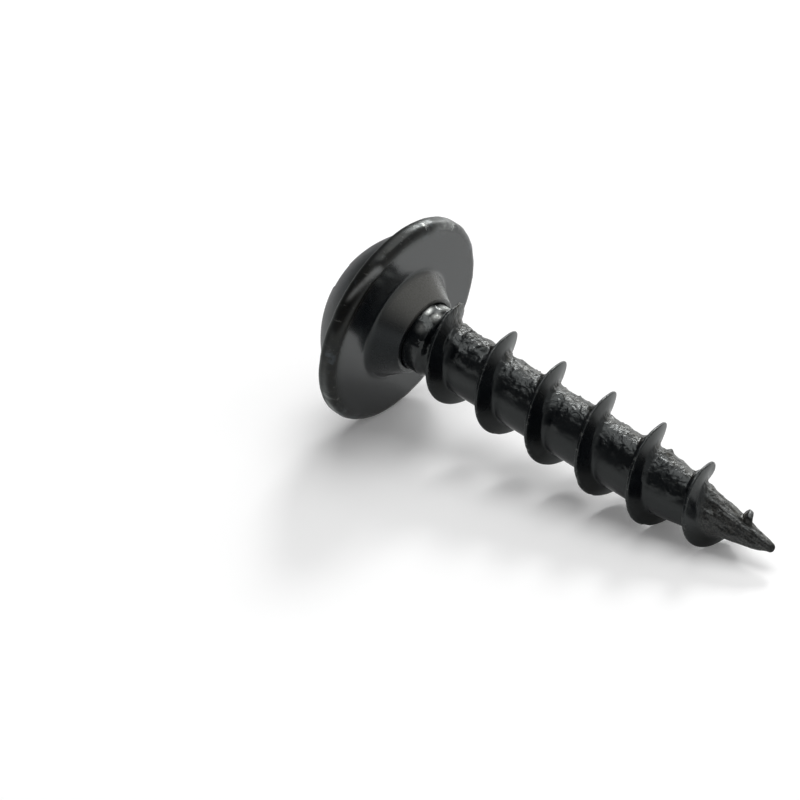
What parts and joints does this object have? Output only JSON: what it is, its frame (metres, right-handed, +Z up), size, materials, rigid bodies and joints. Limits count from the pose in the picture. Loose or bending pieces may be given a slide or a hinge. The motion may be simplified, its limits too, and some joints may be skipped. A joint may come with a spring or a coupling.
{
  "type": "washer head screw",
  "caption": "Black screw with a domed washer head, a cross recess, a short conical boss, a coarse right-hand thread and a gimlet point.",
  "frame": {"origin": "centre of the bounding box on the surface that the screw lies on", "axes": "+X along the screw from the head to the point, +Z up, the axis of the screw leaning down towards the point"},
  "size_m": [0.0229, 0.0096, 0.0096],
  "materials": {
    "black_steel": "black coated steel, satin on the head and oily on the thread"
  },
  "bodies": {
    "root": {"screw": "black_steel"}
  },
  "joints": []
}
